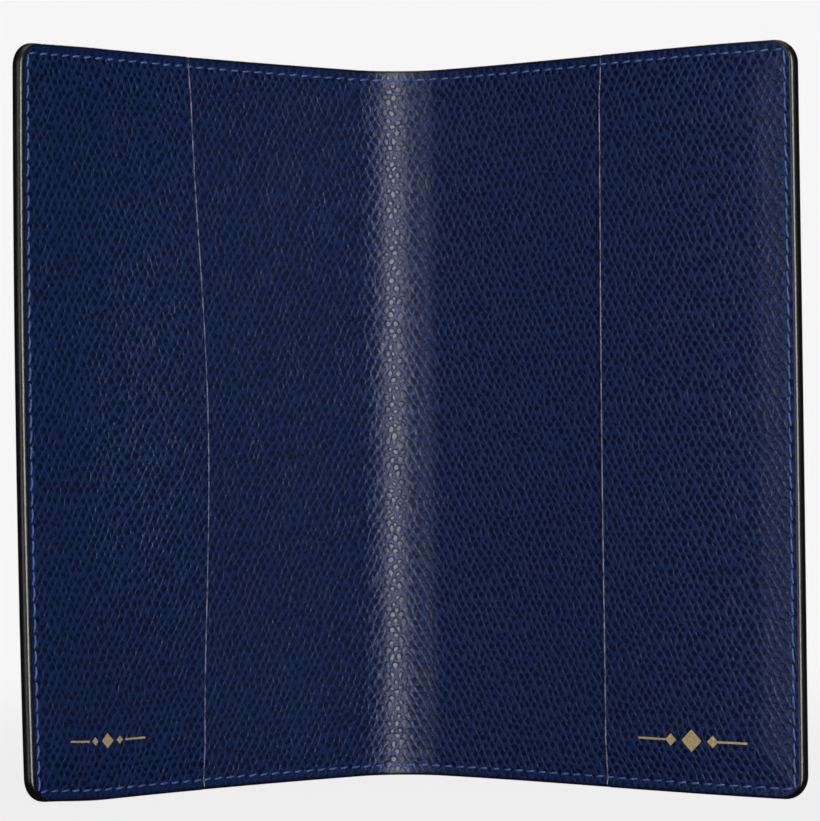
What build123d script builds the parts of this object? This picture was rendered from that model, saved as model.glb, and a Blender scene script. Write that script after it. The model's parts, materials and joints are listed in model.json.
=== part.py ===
from build123d import *
import os

# A passport holder standing open on its lower edge. Millimetres, +Z up, the spine toward +Y and the
# two fore-edges toward -Y, so the inside faces look toward -Y.

# Overall size, measured with the holder flat open
HEIGHT = 140.0
OPEN_WIDTH = 190.0
SPINE_WIDTH = 9.0
CORNER_RADIUS = 4.5

# How far each cover is folded in from flat at rest, degrees
LEFT_ANGLE = 44.5
RIGHT_ANGLE = 40.5

# Layers, from the inside face outward
LINING = 0.5
STIFFENER = 0.4
OUTER_LEATHER = 0.9
FOLD_GAP = 0.1

# Pocket panels
PANEL = 0.6
POCKET_GAP = 1.0
POCKET_RIM = 3.5
POCKET_SLOPE = 2.5
POCKET_WIDTH = 44.8

# Edge paint, thread and foil
PAINT = 0.2
SEAM_INSET = 2.0
STITCHES_ACROSS = 64
STITCHES_UP = 47
STITCH_LENGTH = 2.0
STITCH_SLANT = 6.0
THREAD = 0.44
FOIL = 0.05
LEFT_FOIL = (70.2, 11.0, 19.6, 2.8)
RIGHT_FOIL = (66.4, 10.0, 25.0, 4.2)

# Sizes that follow from those above
COVER_WIDTH = (OPEN_WIDTH - SPINE_WIDTH) / 2
HALF_SPINE = SPINE_WIDTH / 2
BOARD_FACE = LINING + STIFFENER
STACK = BOARD_FACE + OUTER_LEATHER
PITCH_ACROSS = (OPEN_WIDTH - 2 * SEAM_INSET) / STITCHES_ACROSS
PITCH_UP = (HEIGHT - 2 * SEAM_INSET) / STITCHES_UP


def rectangle(x0, x1, z0, z1):
    """A flat rectangle between two corners."""
    return Pos((x0 + x1) / 2, (z0 + z1) / 2) * Rectangle(x1 - x0, z1 - z0)


def upright(sketch, y):
    """A flat outline stood up so that its second axis becomes +Z, at depth y."""
    return Plane(origin=(0, y, 0), x_dir=(1, 0, 0), z_dir=(0, -1, 0)) * sketch


def slab(sketch, y0, y1):
    """An upright sheet between two depths."""
    return extrude(upright(sketch, y0), amount=y1 - y0, dir=(0, 1, 0))


# The spine. Each layer wraps round both fold lines as a quarter circle, so that the outside stays
# closed while a cover swings about the fold line on the inside face.


def spine_profile(inner, outer):
    """Plan view of one spine layer between two distances from the inside face."""
    ring = Circle(outer)
    if inner > 0:
        ring -= Circle(inner)
    quarter = Pos(HALF_SPINE, 0) * (ring & rectangle(0, outer, 0, outer))
    straight = rectangle(-HALF_SPINE, HALF_SPINE, inner, outer)
    return straight + quarter + mirror(quarter, about=Plane.YZ)


def spine_layer(inner, outer):
    """One spine layer at its full height inside the edge paint."""
    return Pos(0, 0, PAINT) * extrude(spine_profile(inner, outer), amount=HEIGHT - 2 * PAINT)


def spine_edge_paint():
    """The painted ends of the spine's layers."""
    strip = extrude(spine_profile(0, STACK), amount=PAINT)
    return [strip, Pos(0, 0, HEIGHT - PAINT) * strip]


# A cover, in its own frame: the fold line at x = 0, x toward the fore-edge, y = 0 on the lining's
# face and +y toward the outside.


def outline(inset):
    """A cover's outline with rounded outer corners, drawn in by an amount on its three free sides."""
    sheet = rectangle(0, COVER_WIDTH - inset, inset, HEIGHT - inset)
    corners = sheet.vertices().group_by(Axis.X)[-1]
    return fillet(corners, CORNER_RADIUS - inset)


def fold_clearance():
    """The round space that a cover leaves for the spine's wrapped edge."""
    return Cylinder(STACK + FOLD_GAP, HEIGHT, align=(Align.CENTER, Align.CENTER, Align.MIN))


def cover_layer(y0, y1):
    """One full-size layer of a cover."""
    return slab(outline(PAINT), y0, y1) - fold_clearance()


def raised_centre(pocket_width, base, top):
    """The part of a pocket panel that stands off the lining, sloping up from the sewn rim."""
    start = COVER_WIDTH - pocket_width - 10
    end = COVER_WIDTH - POCKET_RIM
    low = rectangle(start, end, POCKET_RIM, HEIGHT - POCKET_RIM)
    rise = POCKET_RIM + POCKET_SLOPE
    high = rectangle(start, end - POCKET_SLOPE, rise, HEIGHT - rise)
    return loft([upright(low, base).face(), upright(high, top).face()], ruled=True)


def pocket_skin(pocket_width):
    """A pocket panel's whole section, flat on the lining at its rim and raised inside it."""
    flat = slab(outline(PAINT), -PANEL, 0)
    outside = raised_centre(pocket_width, -PANEL, -PANEL - POCKET_GAP)
    inside = raised_centre(pocket_width, 0, -POCKET_GAP)
    return flat + outside - inside


def skin_between(skin, x0, x1, z0, z1):
    """The part of a pocket panel's section inside a rectangle."""
    return skin & slab(rectangle(x0, x1, z0, z1), -PANEL - POCKET_GAP, 0)


def pocket_panel(pocket_width):
    """The leather panel, sewn on three sides, as its rim, its sloping band and its raised centre."""
    start = COVER_WIDTH - pocket_width + PAINT
    rim_x = COVER_WIDTH - POCKET_RIM
    slope_x = rim_x - POCKET_SLOPE
    rim_z = POCKET_RIM
    slope_z = POCKET_RIM + POCKET_SLOPE
    zones = [
        (start, COVER_WIDTH, 0, rim_z),
        (start, COVER_WIDTH, HEIGHT - rim_z, HEIGHT),
        (rim_x, COVER_WIDTH, rim_z, HEIGHT - rim_z),
        (start, slope_x, rim_z, slope_z),
        (start, slope_x, HEIGHT - slope_z, HEIGHT - rim_z),
        (slope_x, rim_x, slope_z, HEIGHT - slope_z),
        (slope_x, rim_x, rim_z, slope_z),
        (slope_x, rim_x, HEIGHT - slope_z, HEIGHT - rim_z),
        (start, slope_x, slope_z, HEIGHT - slope_z),
    ]
    skin = pocket_skin(pocket_width)
    return [skin_between(skin, *zone) for zone in zones]


def pocket_edge(pocket_width):
    """The coat on the panel's free edge."""
    free_edge = COVER_WIDTH - pocket_width
    return skin_between(pocket_skin(pocket_width), free_edge, free_edge + PAINT, 0, HEIGHT)


def cover_edge_paint(pocket_width):
    """The painted edge in straight runs and corners, thicker where it also covers a pocket panel."""
    straight_end = COVER_WIDTH - CORNER_RADIUS
    band = outline(0) - outline(PAINT)
    cuts = [
        rectangle(0, straight_end, 0, PAINT),
        rectangle(0, straight_end, HEIGHT - PAINT, HEIGHT),
        rectangle(straight_end, COVER_WIDTH, 0, CORNER_RADIUS),
        rectangle(straight_end, COVER_WIDTH, HEIGHT - CORNER_RADIUS, HEIGHT),
        rectangle(COVER_WIDTH - PAINT, COVER_WIDTH, CORNER_RADIUS, HEIGHT - CORNER_RADIUS),
    ]
    pocket_zone = rectangle(COVER_WIDTH - pocket_width, COVER_WIDTH, 0, HEIGHT)
    runs = []
    for cut in cuts:
        run = band & cut
        solid = slab(run, 0, STACK) + slab(run & pocket_zone, -PANEL, 0)
        runs.append(solid - fold_clearance())
    return runs


# Stitches. Each one that shows is a bar with a flat underside lying on the leather.


def stitch(x, z, y, outward, turn):
    """One stitch at (x, z) on the face at depth y, standing off it toward outward."""
    half = Circle(THREAD / 2) & rectangle(-THREAD, THREAD, 0, outward * THREAD)
    bar = Pos(0, 0, -STITCH_LENGTH / 2) * extrude(half, amount=STITCH_LENGTH)
    return Pos(x, y, z) * Rot(0, turn + STITCH_SLANT, 0) * bar


def cover_stitches(first, pocket_width, outside):
    """A cover's seam: both cross rows from the given stitch outward, and the fore-edge row."""
    places = []
    for i in range(first, STITCHES_ACROSS // 2):
        x = (i + 0.5) * PITCH_ACROSS - HALF_SPINE
        places.append((x, SEAM_INSET, 90))
        places.append((x, HEIGHT - SEAM_INSET, 90))
    for i in range(STITCHES_UP):
        places.append((COVER_WIDTH - SEAM_INSET, SEAM_INSET + (i + 0.5) * PITCH_UP, 0))
    bars = []
    for x, z, turn in places:
        if outside:
            bars.append(stitch(x, z, STACK, 1, turn))
        elif x > COVER_WIDTH - pocket_width:
            bars.append(stitch(x, z, -PANEL, -1, turn))
        else:
            bars.append(stitch(x, z, 0, -1, turn))
    return bars


def spine_stitches(count, y, outward):
    """The spine's share of both cross rows, counted outward from the middle."""
    bars = []
    for i in range(count):
        x = (i + 0.5) * PITCH_ACROSS
        for z in (SEAM_INSET, HEIGHT - SEAM_INSET):
            bars.append(stitch(x, z, y, outward, 90))
            bars.append(stitch(-x, z, y, outward, 90))
    return bars


def lozenge(x, z, width, height):
    """A diamond shape."""
    corners = [(-width / 2, 0), (0, -height / 2), (width / 2, 0), (0, height / 2)]
    return Pos(x, z) * make_face(Polyline(*corners, close=True))


def foil_ornament(x, z, length, height):
    """A plain stamped ornament: three diamonds between two thin rules."""
    rule = length * 0.26
    shapes = [
        lozenge(x, z, height * 1.1, height),
        lozenge(x - height * 1.15, z, height * 0.6, height * 0.55),
        lozenge(x + height * 1.15, z, height * 0.6, height * 0.55),
        rectangle(x - length / 2, x - length / 2 + rule, z - 0.2, z + 0.2),
        rectangle(x + length / 2 - rule, x + length / 2, z - 0.2, z + 0.2),
    ]
    top = -PANEL - POCKET_GAP
    return [slab(shape, top - FOIL, top) for shape in shapes]


def spine_nodes():
    """The pieces that belong to the spine."""
    return {
        "lining_spine": [spine_layer(0, LINING)],
        "spine_tape": [spine_layer(LINING, BOARD_FACE)],
        "outer_leather_spine": [spine_layer(BOARD_FACE, STACK)],
        "edge_paint_spine": spine_edge_paint(),
        "inside_stitches_spine": spine_stitches(2, 0, -1),
        "outside_stitches_spine": spine_stitches(1, STACK, 1),
    }


def cover_nodes(side, pocket_width, foil):
    """The pieces of one cover, in the cover's own frame."""
    return {
        "lining_" + side: [cover_layer(0, LINING)],
        "cover_board_" + side: [cover_layer(LINING, BOARD_FACE)],
        "outer_leather_" + side: [cover_layer(BOARD_FACE, STACK)],
        "pocket_panel_" + side: pocket_panel(pocket_width),
        "pocket_edge_" + side: [pocket_edge(pocket_width)],
        "edge_paint_" + side: cover_edge_paint(pocket_width),
        "inside_stitches_" + side: cover_stitches(2, pocket_width, False),
        "outside_stitches_" + side: cover_stitches(2, pocket_width, True),
        "foil_stamp_" + side: foil_ornament(*foil),
    }


def folded(solids, angle):
    """Solids of a cover swung in from flat about the right-hand fold line."""
    place = Pos(HALF_SPINE, 0, 0) * Rot(0, 0, -angle)
    return [place * solid for solid in solids]


def all_nodes():
    """Every piece in its resting place, before the origin is set."""
    nodes = spine_nodes()
    for name, solids in cover_nodes("right", POCKET_WIDTH, RIGHT_FOIL).items():
        nodes[name] = folded(solids, RIGHT_ANGLE)
    for name, solids in cover_nodes("left", POCKET_WIDTH, LEFT_FOIL).items():
        nodes[name] = [mirror(solid, about=Plane.YZ) for solid in folded(solids, LEFT_ANGLE)]
    return nodes


def single_solids(shapes):
    """The plain solids inside a list of shapes."""
    return [solid for shape in shapes for solid in shape.solids()]


def main():
    os.makedirs("parts", exist_ok=True)
    nodes = {name: single_solids(shapes) for name, shapes in all_nodes().items()}
    everything = Compound([solid for solids in nodes.values() for solid in solids])
    bounds = everything.bounding_box()
    to_origin = Pos(-bounds.center().X, -bounds.center().Y, -bounds.min.Z)
    for name, solids in nodes.items():
        moved = [to_origin * solid for solid in solids]
        shape = moved[0] if len(moved) == 1 else Compound(moved)
        export_step(shape, "parts/" + name + ".step")


main()
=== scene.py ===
import json
import math
import random

import bmesh
import bpy
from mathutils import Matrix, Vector


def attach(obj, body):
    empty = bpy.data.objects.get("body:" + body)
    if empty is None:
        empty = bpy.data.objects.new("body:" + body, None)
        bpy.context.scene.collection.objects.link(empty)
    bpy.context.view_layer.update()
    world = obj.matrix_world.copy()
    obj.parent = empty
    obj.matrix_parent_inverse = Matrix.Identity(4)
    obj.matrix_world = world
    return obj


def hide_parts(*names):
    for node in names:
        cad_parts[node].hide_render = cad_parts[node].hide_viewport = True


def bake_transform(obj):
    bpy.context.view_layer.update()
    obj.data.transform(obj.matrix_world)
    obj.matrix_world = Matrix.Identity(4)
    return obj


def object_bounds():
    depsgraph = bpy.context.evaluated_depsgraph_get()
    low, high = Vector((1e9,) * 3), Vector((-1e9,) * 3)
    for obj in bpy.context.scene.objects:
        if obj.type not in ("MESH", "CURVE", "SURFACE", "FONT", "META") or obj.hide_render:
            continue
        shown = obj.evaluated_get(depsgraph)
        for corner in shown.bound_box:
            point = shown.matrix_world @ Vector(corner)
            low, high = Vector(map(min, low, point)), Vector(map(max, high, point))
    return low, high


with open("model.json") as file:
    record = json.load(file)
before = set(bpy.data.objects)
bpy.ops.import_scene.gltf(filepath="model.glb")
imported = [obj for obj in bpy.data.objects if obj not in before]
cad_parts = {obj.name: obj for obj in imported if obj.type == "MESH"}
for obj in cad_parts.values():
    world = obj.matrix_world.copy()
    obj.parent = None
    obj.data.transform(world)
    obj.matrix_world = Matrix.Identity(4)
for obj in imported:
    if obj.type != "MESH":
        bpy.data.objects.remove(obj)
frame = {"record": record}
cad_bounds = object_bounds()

# Lengths are in millimetres until a point is placed, and then in metres.
MM = 0.001
SEED = 7

# The holder laid flat: u runs across it from the spine's middle, v up from the lower edge, and w
# out from the inside face, so that w is negative on the side the pockets are on.
OPEN_WIDTH = 190.0
HEIGHT = (cad_bounds[1][2] - cad_bounds[0][2]) / MM
SPINE_WIDTH = 9.0
CORNER = 4.5
PAINT = 0.2
SHEET_INSET = 0.32
LINING = 0.5
BOARD_FACE = 0.9
STACK = 1.8
PANEL = 0.6
POCKET_WIDTH = 44.8
SEAM_INSET = 2.0
STITCHES_ACROSS = 64
STITCHES_UP = 47
HALF_OPEN = OPEN_WIDTH / 2
HALF_SPINE = SPINE_WIDTH / 2
SIDES = {"left": -1, "right": 1}
PITCH_ACROSS = (OPEN_WIDTH - 2 * SEAM_INSET) / STITCHES_ACROSS
PITCH_UP = (HEIGHT - 2 * SEAM_INSET) / STITCHES_UP

# How the leather flexes at rest: the reach of each fold's curve from its fold line, each cover's
# bow and wave out of its plane, how many degrees it leans in from its lower edge to its upper one,
# and how many more its ends close than its middle.
FOLD_REACH = 4.3
BOW = {"left": 3.2, "right": -0.15}
WAVE = {"left": -0.25, "right": 0.95}
LEAN = {"left": -1.6, "right": 1.35}
CURL = {"left": 0.55, "right": 0.1}

# Factors that bring a cubic wave's crest to 1 and a curl's mean over the height to about 0
WAVE_CREST = 20.8
CURL_MEAN = 0.33

# How far each pocket's mouth stands open at its middle and its ends, and how far its free edge
# slants from its middle to its ends. Last, how far each fore-edge's lower and upper corners draw in.
MOUTH = {"left": (3.4, 0.4), "right": (0.35, 0.4)}
SLANT = {"left": 1.05, "right": 0.0}
DRAWN_IN = {"left": (0.95, 0.4), "right": (0.0, 0.1)}

# The mesh grid's spacing, and its extra lines as distances in from a sheet's edge
GRID = 0.7266
EDGE_LINES = (0.12, 0.25, 0.4, 0.6, 0.9, 1.25, 1.6, 2.3, 2.7, 3.2, 3.9)

# How far the tape reaches past the spine, and how far tape and boards stay in from the outline
TAPE_REACH = HALF_SPINE + 1.6
INNER_INSET = PAINT + 0.4

# The edge paint's bead: its roundness and how far it laps a face beside a straight and a fore-edge
BEAD_POWER = 2 / 2.2
BEAD_STEPS = 9
LAP = 0.28
LAP_AT_FORE_EDGE = 0.47

# The pocket's free edge as an outline: each point's distance outward and its height off the
# panel's face, or off its back
FREE_EDGE_AT_FACE = ((0.30, 0.02), (0.24, -0.04), (0.10, -0.045), (-0.02, -0.01), (-0.10, 0.08))
FREE_EDGE_AT_BACK = ((-0.10, -0.1), (0.02, -0.01), (0.17, 0.0))

# A stitch: the thread's radius, its length along each row, how full its arch is and how it slants
THREAD_RADIUS = 0.21
STITCH_UP_LENGTH = 2.6
STITCH_ACROSS_LENGTH = 2.05
STITCH_SLANT = 7
STITCH_RINGS = 14
STITCH_AROUND = 12

# Each ornament's middle, length and height on the laid-flat holder
FOIL = {
    "left": ((HALF_SPINE + 70.2, 11.0), 19.6, 2.8),
    "right": ((HALF_SPINE + 66.4, 10.0), 25.0, 4.2),
}
FOIL_STEPS = 10
RULE_SHARE = 0.26
RULE_HALF = 0.2

# The grain's lattice: half its period across, its row spacing, and how far its points stray
GRAIN_A = 0.88
GRAIN_B = 1.41
STRAY = 0.42

# The leather's colours: its two ground tones, its ridges, lightened as painted sheen, and its pits,
# darkened as painted shade
GROUND = (0.0006, 0.0130, 0.074, 1)
GROUND_LIGHTER = (0.0009, 0.0155, 0.086, 1)
RIDGE_SHEEN = (0.018, 0.040, 0.125, 1)
PIT_SHADE = (0.0001, 0.0028, 0.025, 1)

# The lens as a share of the frame's width, and the camera's place from the spine's middle
CAMERA_FOCAL = 4.641
CAMERA_ASIDE = -4.2
CAMERA_BACK = 756.3
CAMERA_UP = 66.6
CAMERA_ROLL = -0.3
AIM_ASIDE = 2.1
AIM_UP = 72.4
PALE = 0.92

joints = {joint["name"]: joint for joint in frame["record"]["behaviour"]["joints"]}


def fold_of(side):
    """The fold line's place in plan and the cover's resting angle in from flat."""
    joint = joints[side + "_fold"]
    x, y, _ = joint["pos_m"]
    return Vector((x / MM, y / MM)), math.radians(-joint["range_deg"][0])


FOLDS = {side: fold_of(side) for side in SIDES}
SPINE_MIDDLE = (FOLDS["left"][0] + FOLDS["right"][0]) / 2


# ---------------------------------------------------------------- shape


def smooth(edge0, edge1, x):
    """Smooth step from 0 at edge0 to 1 at edge1."""
    t = min(1.0, max(0.0, (x - edge0) / (edge1 - edge0)))
    return t * t * (3 - 2 * t)


def side_of(u):
    """The side of the spine's middle that a point is on."""
    return "left" if u < 0 else "right"


def cover_plan(side, s, v):
    """A cover's inside face in plan, at distance s from its fold line and height v."""
    fold, angle = FOLDS[side]
    sign = SIDES[side]
    height = v / HEIGHT - 0.5
    angle += math.radians(LEAN[side] * height + CURL[side] * (4 * height * height - CURL_MEAN))
    along = Vector((sign * math.cos(angle), -math.sin(angle)))
    out = Vector((sign * math.sin(angle), math.cos(angle)))
    t = min(1.2, max(0.0, s / (HALF_OPEN - HALF_SPINE)))
    bow = BOW[side] * 4 * t * (1 - t) + WAVE[side] * WAVE_CREST * t * (t - 0.5) * (t - 1)
    return fold + along * s + out * bow


def plan(u, v):
    """The inside face in plan: flat on the spine, a smooth curve at the fold, then the cover."""
    side = side_of(u)
    s = abs(u) - HALF_SPINE
    if s >= FOLD_REACH:
        return cover_plan(side, s, v)
    if s <= -FOLD_REACH:
        return SPINE_MIDDLE + Vector((u, 0))
    start = SPINE_MIDDLE + Vector((SIDES[side] * (HALF_SPINE - FOLD_REACH), 0))
    end = cover_plan(side, FOLD_REACH, v)
    heading = cover_plan(side, FOLD_REACH + 0.01, v) - end
    bend = end + heading * ((start.y - end.y) / heading.y)
    t = (s + FOLD_REACH) / (2 * FOLD_REACH)
    return start * (1 - t) ** 2 + bend * (2 * t * (1 - t)) + end * t**2


def place(u, v, w):
    """A point of the laid-flat holder in the resting shape, in metres."""
    here = plan(u, v)
    step = plan(u + 0.02, v) - plan(u - 0.02, v)
    step.normalize()
    low, high = DRAWN_IN[side_of(u)]
    near_corner = smooth(0.78, 1.0, abs(u) / HALF_OPEN)
    z = v + near_corner * (low * (1 - v / HEIGHT) - high * v / HEIGHT)
    return Vector((here.x - step.y * w, here.y + step.x * w, z)) * MM


def slant_of(side, v):
    """How far a pocket's free edge slants out at height v."""
    return SLANT[side] * (2 * v / HEIGHT - 1)


def free_edge(side, v):
    """How far out a pocket's free edge is at height v."""
    return HALF_OPEN - POCKET_WIDTH + slant_of(side, v)


def round_corner(u, v, inset):
    """Draws a point of the square-cornered sheet in to its rounded corner."""
    radius = CORNER - inset
    cu = HALF_OPEN - inset - radius
    cv = HEIGHT / 2 - inset - radius
    a, b = abs(u) - cu, abs(v - HEIGHT / 2) - cv
    if a <= 0 or b <= 0:
        return u, v
    scale = max(a, b) / math.hypot(a, b)
    return (
        math.copysign(cu + a * scale, u),
        HEIGHT / 2 + math.copysign(cv + b * scale, v - HEIGHT / 2),
    )


def past_corner(u, v):
    """How far a point is past its corner's centre, across and up."""
    return abs(u) - (HALF_OPEN - CORNER), abs(v - HEIGHT / 2) - (HEIGHT / 2 - CORNER)


def edge_distance(u, v):
    """How far a point lies inside the outer outline."""
    a, b = past_corner(u, v)
    if a > 0 and b > 0:
        return CORNER - math.hypot(a, b)
    return CORNER - max(a, b)


def fore_edge_share(u, v):
    """1 beside the fore-edge, 0 beside the top and bottom edges, and between them round a corner."""
    a, b = past_corner(u, v)
    if a > 0 and b > 0:
        return a / math.hypot(a, b)
    return 1.0 if a > b else 0.0


def seam_dip(u, v, depth=0.10):
    """How far the surface is pulled down along the seam, and most at the needle's holes."""
    d = edge_distance(u, v) - SEAM_INSET
    from_row = abs(abs(v - HEIGHT / 2) - HEIGHT / 2 + SEAM_INSET)
    from_column = abs(abs(u) - HALF_OPEN + SEAM_INSET)
    across = from_row < from_column
    phase = (abs(u) / PITCH_ACROSS) if across else ((v - SEAM_INSET) / PITCH_UP)
    hole = 0.5 + 0.5 * math.cos(2 * math.pi * phase)
    return depth * math.exp(-((d / 0.7) ** 2)) * (0.6 + 0.8 * hole)


def shoulder(u, v, share=0.75):
    """How far a face falls away next to the outer edge, which is rounder at the fore-edge."""
    radius = 0.45 + 0.45 * fore_edge_share(u, v)
    d = max(0.0, edge_distance(u, v) - PAINT)
    if d >= radius:
        return 0.0
    return share * (radius - math.sqrt(radius**2 - (radius - d) ** 2))


def lining_face(u, v):
    """The lining's visible face."""
    return min(LINING - 0.03, shoulder(u, v, 0.6)) + seam_dip(u, v, 0.08)


def outside_face(u, v):
    """The outer leather's visible face."""
    return STACK - shoulder(u, v) - seam_dip(u, v)


def pocket_lift(side, u, v):
    """How far a pocket panel stands off the lining."""
    held = smooth(2.6, 9.0, edge_distance(u, v))
    toward_mouth = 1 - smooth(0.0, POCKET_WIDTH * 0.9, abs(u) - free_edge(side, v))
    middle = math.sin(math.pi * min(1.0, max(0.0, v / HEIGHT))) ** 2
    wide, ends = MOUTH[side]
    return held * (ends + wide * middle * toward_mouth**1.3)


def pocket_face(side, u, v):
    """The pocket panel's visible face."""
    return -PANEL - pocket_lift(side, u, v) + shoulder(u, v, 0.6) + seam_dip(u, v)


def pocket_back(side, u, v):
    """The pocket panel's face toward the lining."""
    return -pocket_lift(side, u, v) - 0.01


def sewn_face(side, u, v):
    """The face that the inside thread lies on: the pocket panel, or the lining beyond its free edge."""
    if abs(u) > free_edge(side, v) - 0.2:
        return pocket_face(side, u, v)
    return lining_face(u, v)


# ---------------------------------------------------------------- meshes


def new_piece(name, verts, faces, uvs, nodes, material):
    """A mesh object with its laid-flat coordinates as a UV map, in millimetres."""
    mesh = bpy.data.meshes.new(name)
    mesh.from_pydata(verts, [], faces)
    layer = mesh.uv_layers.new(name="Flat")
    for loop in mesh.loops:
        layer.data[loop.index].uv = uvs[loop.vertex_index]
    bm = bmesh.new()
    bm.from_mesh(mesh)
    bmesh.ops.recalc_face_normals(bm, faces=bm.faces)
    bm.to_mesh(mesh)
    bm.free()
    for polygon in mesh.polygons:
        polygon.use_smooth = True
    mesh.set_sharp_from_angle(angle=math.radians(38))
    mesh.materials.append(material)
    obj = bpy.data.objects.new(name, mesh)
    bpy.context.scene.collection.objects.link(obj)
    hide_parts(*nodes)
    return obj


def levels(low, high, step, extra=()):
    """Even grid lines between two values, with extra ones put in, in order."""
    count = max(1, round((high - low) / step))
    values = {round(low + (high - low) * i / count, 4) for i in range(count + 1)}
    values |= {round(x, 4) for x in extra if low < x < high}
    return sorted(values)


def tube_faces(first, rings, size):
    """The walls between rings of points, and a cap on each end."""
    faces = []
    for k in range(rings - 1):
        a, b = first + k * size, first + (k + 1) * size
        for i in range(size):
            j = (i + 1) % size
            faces.append([a + i, a + j, b + j, b + i])
    faces.append([first + i for i in range(size)])
    faces.append([first + (rings - 1) * size + i for i in range(size)])
    return faces


def slab_faces(index, rows, columns):
    """Both faces of a grid of points and the walls round it, with index giving a point's number."""
    faces = []
    for layer in (0, 1):
        for i in range(rows - 1):
            for j in range(columns - 1):
                corners = ((i, j), (i + 1, j), (i + 1, j + 1), (i, j + 1))
                faces.append([index(layer, *corner) for corner in corners])
    rim = [(i, 0) for i in range(rows)]
    rim += [(rows - 1, j) for j in range(1, columns)]
    rim += [(i, columns - 1) for i in range(rows - 2, -1, -1)]
    rim += [(0, j) for j in range(columns - 2, 0, -1)]
    for a, b in zip(rim, rim[1:] + rim[:1]):
        faces.append([index(0, *a), index(0, *b), index(1, *b), index(1, *a)])
    return faces


def sheet_piece(name, side, span, inset, surfaces, slot, nodes, material, step=GRID):
    """A closed sheet over one side's span of u, with its visible face and its back as functions.
    A pocket's sheet slants with its free edge."""
    sign = SIDES[side]
    u_in, u_out = span
    lines = [inset + x for x in EDGE_LINES]
    us = levels(u_in, u_out, step, [HALF_OPEN - x for x in lines])
    vs = levels(inset, HEIGHT - inset, step, lines + [HEIGHT - x for x in lines])
    verts, uvs = [], []
    for surface in surfaces:
        for u in us:
            for v in vs:
                slant = slant_of(side, v) if slot == "pocket_leather" else 0.0
                slanted = u + slant * ((u_out - u) / (u_out - u_in)) ** 2
                cu, cv = round_corner(sign * slanted, v, inset)
                verts.append(place(cu, cv, surface(cu, cv)))
                uvs.append((cu, cv))
    rows, columns = len(us), len(vs)

    def index(layer, i, j):
        return (layer * rows + i) * columns + j

    faces = slab_faces(index, rows, columns)
    return new_piece(name, verts, faces, uvs, nodes, material)


def corner_points(cu, cv, radius, start):
    """The points round a corner from a starting angle, each with its outward direction."""
    points = []
    for k in range(1, 12):
        a = start + math.pi / 2 * k / 12
        out = (math.cos(a), math.sin(a))
        points.append(((cu + radius * out[0], cv + radius * out[1]), out))
    return points


def outline_path(inset, step):
    """The outline from the spine's middle along the bottom, up the fore-edge and back along the
    top, for the right side: each point with its outward direction."""
    radius = CORNER - inset
    far, high = HALF_OPEN - inset, HEIGHT - inset
    straight = levels(0, far - radius, step)
    points = [((u, inset), (0, -1)) for u in straight]
    points += corner_points(far - radius, inset + radius, radius, -math.pi / 2)
    points += [((far, v), (1, 0)) for v in levels(inset + radius, high - radius, step)]
    points += corner_points(far - radius, high - radius, radius, 0.0)
    points += [((u, high), (0, 1)) for u in reversed(straight)]
    return points


def bead_profile(lap, face):
    """The bead's section from a lap on one face round to the other, then back inside the layers."""
    middle, half = (face + STACK) / 2, (STACK - face) / 2 + 0.05
    profile = []
    for step in range(-BEAD_STEPS, BEAD_STEPS + 1):
        a = step / BEAD_STEPS * math.pi / 2
        round_out = math.cos(a) ** BEAD_POWER if abs(step) < BEAD_STEPS else 0.0
        w = middle + math.copysign(half * abs(math.sin(a)) ** BEAD_POWER, step)
        profile.append((-lap + (lap + PAINT) * round_out, w))
    return profile + [(-0.2, STACK - 0.7), (-0.1, middle), (-0.2, face + 0.7)]


def edge_paint_piece(name, side, nodes, material):
    """The rounded bead of paint round a side's edge, lapping a little onto both faces."""
    sign = SIDES[side]
    rng = random.Random(SEED)
    path = outline_path(PAINT, GRID)
    wobble = [rng.uniform(-1, 1) for _ in range(len(path) + 8)]
    verts, uvs = [], []
    for k, ((u, v), (du, dv)) in enumerate(path):
        free = free_edge(side, v)
        face = -PANEL * smooth(free - 0.25, free + 0.35, u)
        lap = LAP + LAP_AT_FORE_EDGE * abs(du) + 0.06 * sum(wobble[k : k + 8]) / 8
        profile = bead_profile(lap, face)
        for out, w in profile:
            pu, pv = sign * (u + out * du), v + out * dv
            verts.append(place(pu, pv, w))
            uvs.append((pu, pv))
    faces = tube_faces(0, len(path), len(profile))
    return new_piece(name, verts, faces, uvs, nodes, material)


def pocket_edge_piece(name, side, nodes, material):
    """The coated free edge of a pocket panel: a thin rounded bead."""
    sign = SIDES[side]
    ends = PAINT + 0.45
    stations = levels(ends, HEIGHT - ends, GRID)
    verts, uvs = [], []
    for v in stations:
        free = free_edge(side, v)
        face = pocket_face(side, sign * free, v)
        back = pocket_back(side, sign * free, v)
        profile = [(out, face + w) for out, w in FREE_EDGE_AT_FACE]
        profile.append((-0.13, (face + back) / 2))
        profile += [(out, back + w) for out, w in FREE_EDGE_AT_BACK]
        profile.append((0.2, (face + back) / 2))
        for out, w in profile:
            verts.append(place(sign * (free + out), v, w))
            uvs.append((sign * (free + out), v))
    faces = tube_faces(0, len(stations), len(profile))
    return new_piece(name, verts, faces, uvs, nodes, material)


def seam_places():
    """Every stitch of the right side: its middle and its direction."""
    places = []
    for i in range(STITCHES_ACROSS // 2):
        u = (i + 0.5) * PITCH_ACROSS
        places.append(((u, SEAM_INSET), (1, 0)))
        places.append(((u, HEIGHT - SEAM_INSET), (1, 0)))
    for i in range(STITCHES_UP):
        places.append(((HALF_OPEN - SEAM_INSET, SEAM_INSET + (i + 0.5) * PITCH_UP), (0, 1)))
    return places


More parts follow.
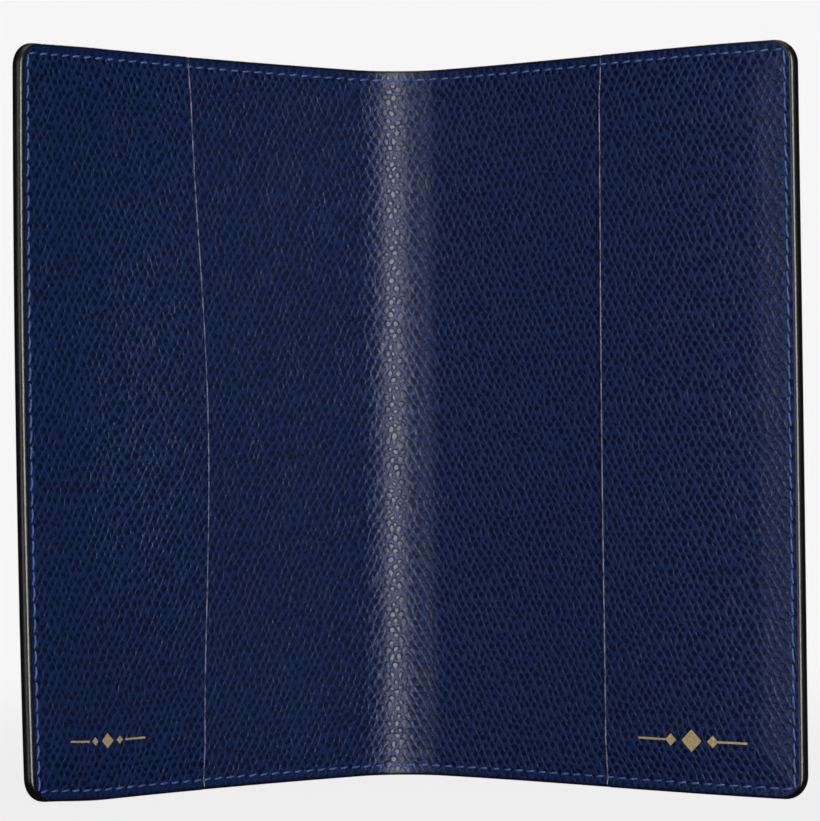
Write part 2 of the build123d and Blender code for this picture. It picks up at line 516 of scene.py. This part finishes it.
def stitch_piece(name, side, surface, outward, nodes, material):
    """A side's stitches: each a short length of three-ply thread that dips into its holes."""
    sign = SIDES[side]
    rng = random.Random(SEED + 11 * sign + 3 * outward)
    verts, uvs, faces = [], [], []
    for (u, v), (du, dv) in seam_places():
        length = (STITCH_UP_LENGTH if dv else STITCH_ACROSS_LENGTH) * rng.uniform(0.95, 1.04)
        fullness = 0.45 if dv else 0.85
        tilt = math.radians(STITCH_SLANT + rng.uniform(-2.5, 2.5)) * (1 if dv else sign)
        along = (
            du * math.cos(tilt) - dv * math.sin(tilt),
            du * math.sin(tilt) + dv * math.cos(tilt),
        )
        across = (-along[1], along[0])
        turn = rng.uniform(0, math.tau)
        first = len(verts)
        for k in range(STITCH_RINGS):
            t = k / (STITCH_RINGS - 1)
            x = (t - 0.5) * length
            arch = math.sin(math.pi * t) ** fullness
            radius = THREAD_RADIUS * (0.62 + 0.38 * arch)
            lift = outward * (-0.14 + 0.27 * arch)
            middle_u, middle_v = u + along[0] * x, v + along[1] * x
            middle_w = surface(sign * middle_u, middle_v) + lift
            for i in range(STITCH_AROUND):
                a = math.tau * i / STITCH_AROUND
                r = radius * (1 + 0.13 * math.cos(3 * (a + turn + x * 2.4)))
                pu = middle_u + across[0] * math.cos(a) * r
                pv = middle_v + across[1] * math.cos(a) * r
                verts.append(place(sign * pu, pv, middle_w + math.sin(a) * r))
                uvs.append((x + u * 3.1 + v, a / math.tau))
        faces += tube_faces(first, STITCH_RINGS, STITCH_AROUND)
    return new_piece(name, verts, faces, uvs, nodes, material)


def lozenge(x, wide, tall):
    """A diamond's corners, with its middle at x."""
    return [(x - wide / 2, 0), (x, -tall / 2), (x + wide / 2, 0), (x, tall / 2)]


def ornament_outlines(length, height):
    """The stamped ornament's shapes, three lozenges and two rules, round its middle."""
    shapes = [
        lozenge(0, height * 1.1, height),
        lozenge(-height * 1.15, height * 0.6, height * 0.55),
        lozenge(height * 1.15, height * 0.6, height * 0.55),
    ]
    rule = length * RULE_SHARE
    for start in (-length / 2, length / 2 - rule):
        end = start + rule
        shapes.append(
            [(start, -RULE_HALF), (end, -RULE_HALF), (end, RULE_HALF), (start, RULE_HALF)]
        )
    return shapes


def inside_corners(corners, s, t):
    """The point at shares s and t across a four-cornered shape."""
    shares = ((1 - s) * (1 - t), s * (1 - t), s * t, (1 - s) * t)
    return [sum(corner[k] * share for corner, share in zip(corners, shares)) for k in (0, 1)]


def foil_piece(name, side, middle, length, height, nodes, material):
    """The foil, pressed a little into the grain and following the panel's surface."""
    sign = SIDES[side]
    count = FOIL_STEPS + 1
    verts, uvs, faces = [], [], []
    for corners in ornament_outlines(length, height):
        first = len(verts)
        for lift in (-0.035, 0.06):
            for i in range(count):
                for j in range(count):
                    x, y = inside_corners(corners, i / FOIL_STEPS, j / FOIL_STEPS)
                    u, v = sign * (middle[0] + x), middle[1] + y
                    verts.append(place(u, v, pocket_face(side, u, v) + lift))
                    uvs.append((u, v))

        def index(layer, i, j):
            return first + (layer * count + i) * count + j

        faces += slab_faces(index, count, count)
    return new_piece(name, verts, faces, uvs, nodes, material)


# ---------------------------------------------------------------- materials


class Graph:
    """A short way to write a material's nodes, with the laid-flat coordinates ready."""

    def __init__(self, name):
        self.material = bpy.data.materials.new(name)
        self.material.use_nodes = True
        self.tree = self.material.node_tree
        self.shader = self.tree.nodes["Principled BSDF"]
        self.flat = self.add("ShaderNodeUVMap", uv_map="Flat").outputs[0]

    def add(self, kind, values=None, **settings):
        node = self.tree.nodes.new(kind)
        for key, value in settings.items():
            setattr(node, key, value)
        for key, value in (values or {}).items():
            self.put(node.inputs[key], value)
        return node

    def put(self, socket, value):
        if isinstance(value, bpy.types.NodeSocket):
            self.tree.links.new(value, socket)
        else:
            socket.default_value = value

    def math(self, operation, *values):
        return self.add("ShaderNodeMath", dict(enumerate(values)), operation=operation).outputs[0]

    def plus(self, a, b):
        return self.math("ADD", a, b)

    def minus(self, a, b):
        return self.math("SUBTRACT", a, b)

    def times(self, a, b):
        return self.math("MULTIPLY", a, b)

    def vector_math(self, operation, values):
        return self.add("ShaderNodeVectorMath", values, operation=operation).outputs[0]

    def split(self, vector):
        """A vector's first two parts."""
        parts = self.add("ShaderNodeSeparateXYZ", {0: vector})
        return parts.outputs[0], parts.outputs[1]

    def ramp(self, value, low, high, to_low=0.0, to_high=1.0):
        """A smooth step of a value between two levels."""
        ends = {"From Min": low, "From Max": high, "To Min": to_low, "To Max": to_high}
        node = self.add(
            "ShaderNodeMapRange", {"Value": value, **ends}, interpolation_type="SMOOTHSTEP"
        )
        return node.outputs[0]

    def mix(self, factor, a, b):
        """A colour between two others."""
        return self.add("ShaderNodeMix", {0: factor, 6: a, 7: b}, data_type="RGBA").outputs[2]

    def noise(self, scale, detail=2.0, roughness=0.5):
        values = {"Vector": self.flat, "Scale": scale, "Detail": detail, "Roughness": roughness}
        return self.add("ShaderNodeTexNoise", values).outputs["Fac"]

    def bump(self, height, strength):
        """A normal from a height in millimetres."""
        values = {"Strength": strength, "Distance": MM, "Height": height}
        return self.add("ShaderNodeBump", values).outputs[0]

    def shade(self, colour, rough, normal, **constants):
        """Joins the shader's inputs and gives the finished material."""
        values = {"Base Color": colour, "Roughness": rough, "Normal": normal, **constants}
        for key, value in values.items():
            self.put(self.shader.inputs[key.replace("_", " ")], value)
        return self.material


def crossing_lines(g, value, width):
    """Thin lines half way between whole numbers of a value."""
    middle = g.math("FRACT", g.minus(value, STRAY / 2))
    return g.ramp(g.math("ABSOLUTE", g.minus(middle, 0.5)), 0.015, width, 1.0, 0.0)


def away_from_edges(g):
    """1 over the leather and less beside the outline, where the seam has pressed the grain flat."""
    u, v = g.split(g.flat)
    across = g.minus(HALF_OPEN, g.math("ABSOLUTE", u))
    up = g.minus(HEIGHT / 2, g.math("ABSOLUTE", g.minus(v, HEIGHT / 2)))
    return g.ramp(g.math("MINIMUM", across, up), 0.7, 2.6, 0.5, 1.0)


def lattice(g):
    """The leaning lattice that the grain follows, as two coordinates that drift a little."""
    warp = g.add("ShaderNodeTexNoise", {"Vector": g.flat, "Scale": 0.16, "Detail": 3.0})
    centred = g.vector_math("SUBTRACT", {0: warp.outputs["Color"], 1: (0.5, 0.5, 0.5)})
    drift = g.vector_math("SCALE", {0: centred, "Scale": 2.6})
    x, y = g.split(g.vector_math("ADD", {0: g.flat, 1: drift}))
    x = g.math("DIVIDE", x, 2 * GRAIN_A)
    y = g.math("DIVIDE", y, 2 * GRAIN_B)
    return g.plus(y, x), g.minus(y, x)


def from_pit(g, p, q):
    """The distance from the nearest pit's middle, as a share of that pit's own size."""
    cell = g.add("ShaderNodeCombineXYZ", {0: p, 1: q}).outputs[0]
    near = g.add(
        "ShaderNodeTexVoronoi",
        {"Vector": cell, "Scale": 1.0, "Randomness": STRAY},
        voronoi_dimensions="2D",
    )
    middle_p, middle_q = g.split(near.outputs["Position"])
    dp, dq = g.minus(p, middle_p), g.minus(q, middle_q)
    dx = g.times(g.minus(dp, dq), GRAIN_A)
    dy = g.times(g.plus(dp, dq), GRAIN_B * 1.05)
    distance = g.math("SQRT", g.plus(g.times(dx, dx), g.times(dy, dy)))
    own, _ = g.split(near.outputs["Color"])
    share = g.math("DIVIDE", distance, g.ramp(own, 0.0, 1.0, 0.78, 1.15))
    return g.plus(share, g.times(g.minus(g.noise(1.6, 1.0), 0.5), 0.16))


def ridges(g, p, q):
    """Fine crossing ridges between the pits, stronger in some places than in others."""
    lines = g.math("MAXIMUM", crossing_lines(g, p, 0.12), crossing_lines(g, q, 0.12))
    finer = g.math(
        "MAXIMUM",
        crossing_lines(g, g.times(p, 2.0), 0.2),
        crossing_lines(g, g.times(q, 2.0), 0.2),
    )
    lines = g.math("MAXIMUM", lines, g.times(finer, 0.45))
    return g.times(lines, g.ramp(g.noise(0.8, 2.0), 0.3, 0.6, 0.45, 1.0))


def leather_material(name):
    """Navy leather with an embossed grain: smooth round pits on a leaning lattice, and fine
    crossing ridges between them. Its ridges are lightened as painted sheen, and its pits
    darkened as painted shade."""
    g = Graph(name)
    p, q = lattice(g)
    share = from_pit(g, p, q)
    inner = away_from_edges(g)
    pit = g.times(g.ramp(share, 0.40, 0.80, 1.0, 0.0), inner)
    # The pits' floors: their colour is darkened here as painted shade, and they are a little smoother
    pit_shade = g.times(g.ramp(share, 0.30, 0.64, 1.0, 0.0), inner)
    ridge = g.times(g.times(ridges(g, p, q), g.minus(1.0, pit_shade)), inner)
    fibre = g.noise(4.5, 3.0, 0.6)
    height = g.plus(g.times(pit, -0.065), g.times(ridge, 0.066))
    height = g.plus(height, g.times(fibre, g.minus(0.013, g.times(pit_shade, 0.008))))
    colour = g.mix(g.ramp(g.noise(0.035, 2.0), 0.3, 0.7), GROUND, GROUND_LIGHTER)
    # Painted sheen: the ridges are lightened as if they caught the light
    colour = g.mix(g.times(ridge, 0.8), colour, RIDGE_SHEEN)
    # Painted shade: the pits' floors are darkened as if shade fell in them
    colour = g.mix(g.times(pit_shade, 0.92), colour, PIT_SHADE)
    rough = g.minus(0.39, g.times(pit_shade, 0.06))
    rough = g.plus(rough, g.times(g.minus(fibre, 0.5), 0.12))
    return g.shade(colour, rough, g.bump(height, 1.0), Specular_IOR_Level=0.5)


def paint_material():
    """Glossy black edge paint, a little uneven."""
    g = Graph("edge_paint_black")
    uneven = g.noise(1.3, 3.0)
    colour = g.mix(
        g.ramp(uneven, 0.35, 0.7), (0.0022, 0.0022, 0.0026, 1), (0.0055, 0.0055, 0.006, 1)
    )
    rough = g.ramp(uneven, 0.2, 0.8, 0.27, 0.38)
    height = g.plus(g.times(uneven, 0.05), g.times(g.noise(9.0, 2.0), 0.012))
    return g.shade(colour, rough, g.bump(height, 0.8), Specular_IOR_Level=0.85)


def pocket_edge_material():
    """The pockets' navy edge coat, with pale patches painted on as a painted highlight along its
    rounded edge.
    """
    g = Graph("pocket_edge_coat")
    uneven = g.noise(1.1, 3.0)
    # Painted highlight: pale patches where the rounded edge would catch the light, navy elsewhere
    lighter_patches = g.ramp(g.noise(0.45, 4.0, 0.65), 0.36, 0.62)
    colour = g.mix(lighter_patches, (0.012, 0.022, 0.075, 1), (0.27, 0.29, 0.38, 1))
    rough = g.ramp(uneven, 0.2, 0.8, 0.28, 0.42)
    return g.shade(colour, rough, g.bump(g.times(uneven, 0.05), 0.7))


def thread_material():
    """Blue thread with the bands of its twisted strands."""
    g = Graph("blue_thread")
    strands = g.add(
        "ShaderNodeTexWave",
        {"Vector": g.flat, "Scale": 3.0, "Distortion": 1.5, "Detail": 2.0},
        wave_type="BANDS",
        bands_direction="DIAGONAL",
    ).outputs["Fac"]
    lighter_patches = g.ramp(g.noise(0.7, 2.0), 0.3, 0.7)
    colour = g.mix(lighter_patches, (0.060, 0.125, 0.34, 1), (0.115, 0.195, 0.44, 1))
    colour = g.mix(g.times(strands, 0.35), colour, (0.020, 0.045, 0.15, 1))
    rough = g.ramp(strands, 0.0, 1.0, 0.42, 0.6)
    return g.shade(colour, rough, g.bump(g.times(strands, 0.03), 0.6))


def foil_material():
    """Gold foil, crumpled and rubbed by the grain under it."""
    g = Graph("gold_foil")
    wear = g.noise(2.6, 4.0, 0.65)
    colour = g.mix(g.ramp(wear, 0.35, 0.75), (1.0, 0.80, 0.42, 1), (0.72, 0.47, 0.17, 1))
    rough = g.ramp(wear, 0.2, 0.8, 0.32, 0.55)
    height = g.plus(g.times(g.noise(1.4, 2.0), 0.16), g.times(wear, 0.05))
    return g.shade(colour, rough, g.bump(height, 0.8), Metallic=0.5)


def board_material():
    """Pressed board with a mottled, pulpy surface."""
    g = Graph("pressed_board")
    pulp = g.noise(1.8, 5.0, 0.7)
    colour = g.mix(g.ramp(pulp, 0.3, 0.7), (0.40, 0.33, 0.25, 1), (0.52, 0.45, 0.35, 1))
    rough = g.ramp(pulp, 0.0, 1.0, 0.75, 0.9)
    return g.shade(colour, rough, g.bump(g.times(pulp, 0.05), 0.5))


def tape_material():
    """Plain woven tape."""
    g = Graph("woven_tape")
    weave = g.add("ShaderNodeTexChecker", {"Vector": g.flat, "Scale": 2.2}).outputs["Fac"]
    uneven = g.noise(3.0, 3.0)
    colour = g.mix(g.times(weave, 0.5), (0.70, 0.69, 0.65, 1), (0.52, 0.51, 0.48, 1))
    colour = g.mix(g.times(uneven, 0.3), colour, (0.42, 0.41, 0.38, 1))
    rough = g.ramp(uneven, 0.0, 1.0, 0.8, 0.95)
    return g.shade(colour, rough, g.bump(g.times(weave, 0.04), 0.5))


# ---------------------------------------------------------------- the holder


def lining_back(u, v):
    """The lining's hidden face."""
    return LINING


def outer_back(u, v):
    """The outer leather's hidden face."""
    return BOARD_FACE + 0.01


def core_face(u, v):
    """The boards' and the tape's face toward the lining."""
    return LINING + 0.01


def core_back(u, v):
    """The boards' and the tape's face toward the outer leather."""
    return BOARD_FACE - 0.01


def crossing_pieces(side, materials):
    """The layers of one half that run across its fold."""
    outer_reach = HALF_OPEN - SHEET_INSET
    return [
        sheet_piece(
            "lining_" + side, side, (0.0, outer_reach), SHEET_INSET, (lining_face, lining_back),
            "lining_leather", ["lining_" + side, "lining_spine"], materials["lining"],
        ),
        sheet_piece(
            "outer_leather_" + side, side, (0.0, outer_reach), SHEET_INSET,
            (outside_face, outer_back), "outer_leather",
            ["outer_leather_" + side, "outer_leather_spine"], materials["outer"],
        ),
        sheet_piece(
            "spine_tape_" + side, side, (0.0, TAPE_REACH), INNER_INSET, (core_face, core_back),
            "tape", ["spine_tape"], materials["tape"], 2.0,
        ),
        edge_paint_piece(
            "edge_paint_" + side, side, ["edge_paint_" + side, "edge_paint_spine"],
            materials["paint"],
        ),
        stitch_piece(
            "inside_stitches_" + side, side, lambda u, v: sewn_face(side, u, v), -1,
            ["inside_stitches_" + side, "inside_stitches_spine"], materials["thread"],
        ),
        stitch_piece(
            "outside_stitches_" + side, side, outside_face, 1,
            ["outside_stitches_" + side, "outside_stitches_spine"], materials["thread"],
        ),
    ]


def riding_pieces(side, materials):
    """The layers of one half that move with its cover alone."""
    outer_reach = HALF_OPEN - SHEET_INSET
    free = HALF_OPEN - POCKET_WIDTH
    return [
        sheet_piece(
            "cover_board_" + side, side, (TAPE_REACH + 0.3, outer_reach - 0.4), INNER_INSET,
            (core_face, core_back), "board", ["cover_board_" + side], materials["board"], 2.5,
        ),
        sheet_piece(
            "pocket_panel_" + side, side, (free + 0.12, outer_reach), SHEET_INSET,
            (lambda u, v: pocket_face(side, u, v), lambda u, v: pocket_back(side, u, v)),
            "pocket_leather", ["pocket_panel_" + side], materials["pocket"],
        ),
        pocket_edge_piece(
            "pocket_edge_" + side, side, ["pocket_edge_" + side], materials["pocket_edge"]
        ),
        foil_piece(
            "foil_stamp_" + side, side, *FOIL[side], ["foil_stamp_" + side], materials["foil"]
        ),
    ]


def build_side(side, materials):
    """Every visible and hidden layer of one half of the holder. The pieces that cross the fold
    are baked where they lie, and the rest are attached to the cover's body."""
    sign = SIDES[side]
    start = place(sign * (HALF_SPINE + FOLD_REACH + 0.7), HEIGHT / 2, 0)
    end = place(sign * 0.3, HEIGHT / 2, 0)
    for piece in crossing_pieces(side, materials):
        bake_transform(piece)
    for piece in riding_pieces(side, materials):
        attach(piece, side + "_cover")


# ---------------------------------------------------------------- stage, light and camera


def stage_material(name, catch_shadow):
    """An evenly pale surface; near the object a floor also takes a soft shadow."""
    material = bpy.data.materials.new(name)
    material.use_nodes = True
    tree = material.node_tree
    tree.nodes.clear()
    out = tree.nodes.new("ShaderNodeOutputMaterial")
    glow = tree.nodes.new("ShaderNodeEmission")
    glow.inputs["Color"].default_value = (PALE, PALE, PALE, 1)
    if not catch_shadow:
        tree.links.new(glow.outputs[0], out.inputs[0])
        return material
    matt = tree.nodes.new("ShaderNodeBsdfDiffuse")
    matt.inputs["Color"].default_value = (0.8, 0.8, 0.8, 1)
    mix = tree.nodes.new("ShaderNodeMixShader")
    coordinates = tree.nodes.new("ShaderNodeTexCoord")
    length = tree.nodes.new("ShaderNodeVectorMath")
    length.operation = "LENGTH"
    fade = tree.nodes.new("ShaderNodeMapRange")
    fade.interpolation_type = "SMOOTHSTEP"
    fade_ends = {"From Min": 0.10, "From Max": 0.40, "To Min": 0.10, "To Max": 0.0}
    for key, value in fade_ends.items():
        fade.inputs[key].default_value = value
    tree.links.new(coordinates.outputs["Object"], length.inputs[0])
    tree.links.new(length.outputs["Value"], fade.inputs["Value"])
    tree.links.new(fade.outputs[0], mix.inputs[0])
    tree.links.new(glow.outputs[0], mix.inputs[1])
    tree.links.new(matt.outputs[0], mix.inputs[2])
    tree.links.new(mix.outputs[0], out.inputs[0])
    return material


def stage_piece(name, bm, material):
    """A part of the stage that only the camera sees."""
    mesh = bpy.data.meshes.new(name)
    bm.to_mesh(mesh)
    bm.free()
    mesh.materials.append(material)
    obj = bpy.data.objects.new(name, mesh)
    bpy.context.scene.collection.objects.link(obj)
    obj.visible_glossy = False
    obj.visible_diffuse = False
    obj.visible_transmission = False
    return obj


def build_stage():
    """A pale floor and a pale surround."""
    bm = bmesh.new()
    bmesh.ops.create_circle(bm, cap_ends=True, radius=9.0, segments=96)
    stage_piece("floor", bm, stage_material("floor_pale", True))
    bm = bmesh.new()
    bmesh.ops.create_uvsphere(bm, u_segments=64, v_segments=32, radius=10.0)
    surround = stage_piece("surround", bm, stage_material("surround_pale", False))
    surround.visible_shadow = False


def area_light(name, position, width, height, radiance):
    """A soft panel facing the holder's middle, with its strength as radiance."""
    light = bpy.data.lights.new(name, "AREA")
    light.shape = "RECTANGLE"
    light.size, light.size_y = width, height
    light.energy = radiance * math.pi * width * height
    obj = bpy.data.objects.new(name, light)
    obj.location = position
    heading = Vector((0.0, 0.0, 0.07)) - Vector(position)
    obj.rotation_euler = heading.to_track_quat("-Z", "Y").to_euler()
    obj.visible_camera = False
    bpy.context.scene.collection.objects.link(obj)


def build_lights():
    """A strong panel in front, weak ones at the sides, above and behind, and a dim surround."""
    area_light("front_panel", (0.18, -1.15, 0.10), 0.36, 1.1, 12.5)
    area_light("left_panel", (-0.85, -0.85, 0.22), 0.24, 1.0, 2.4)
    area_light("right_panel", (1.05, -0.60, 0.22), 0.30, 1.0, 0.3)
    area_light("top_panel", (0.0, -0.1, 1.2), 1.0, 1.0, 0.8)
    area_light("back_panel", (0.2, 1.3, 0.4), 0.8, 1.0, 2.5)
    world = bpy.data.worlds.new("studio")
    world.use_nodes = True
    world.node_tree.nodes["Background"].inputs["Color"].default_value = (0.018, 0.019, 0.022, 1)
    bpy.context.scene.world = world


def build_camera():
    """A long lens square to the open holder, a little below its middle."""
    data = bpy.data.cameras.new("camera")
    data.sensor_fit = "HORIZONTAL"
    data.sensor_width = 36.0
    data.lens = 36.0 * CAMERA_FOCAL
    data.clip_end = 50
    camera = bpy.data.objects.new("camera", data)
    x, y = SPINE_MIDDLE
    camera.location = Vector((x + CAMERA_ASIDE, y - CAMERA_BACK, CAMERA_UP)) * MM
    aim = Vector((x + AIM_ASIDE, y, AIM_UP)) * MM
    camera.rotation_euler = (aim - camera.location).to_track_quat("-Z", "Y").to_euler()
    camera.rotation_euler.rotate_axis("Z", math.radians(CAMERA_ROLL))
    bpy.context.scene.collection.objects.link(camera)
    bpy.context.scene.camera = camera


MATERIALS = {
    "lining": leather_material("lining_leather_navy"),
    "outer": leather_material("outer_leather_navy"),
    "pocket": leather_material("pocket_leather_navy"),
    "paint": paint_material(),
    "pocket_edge": pocket_edge_material(),
    "thread": thread_material(),
    "foil": foil_material(),
    "board": board_material(),
    "tape": tape_material(),
}

for each_side in SIDES:
    build_side(each_side, MATERIALS)
build_stage()
build_lights()
build_camera()
bpy.context.scene.view_settings.view_transform = "Standard"
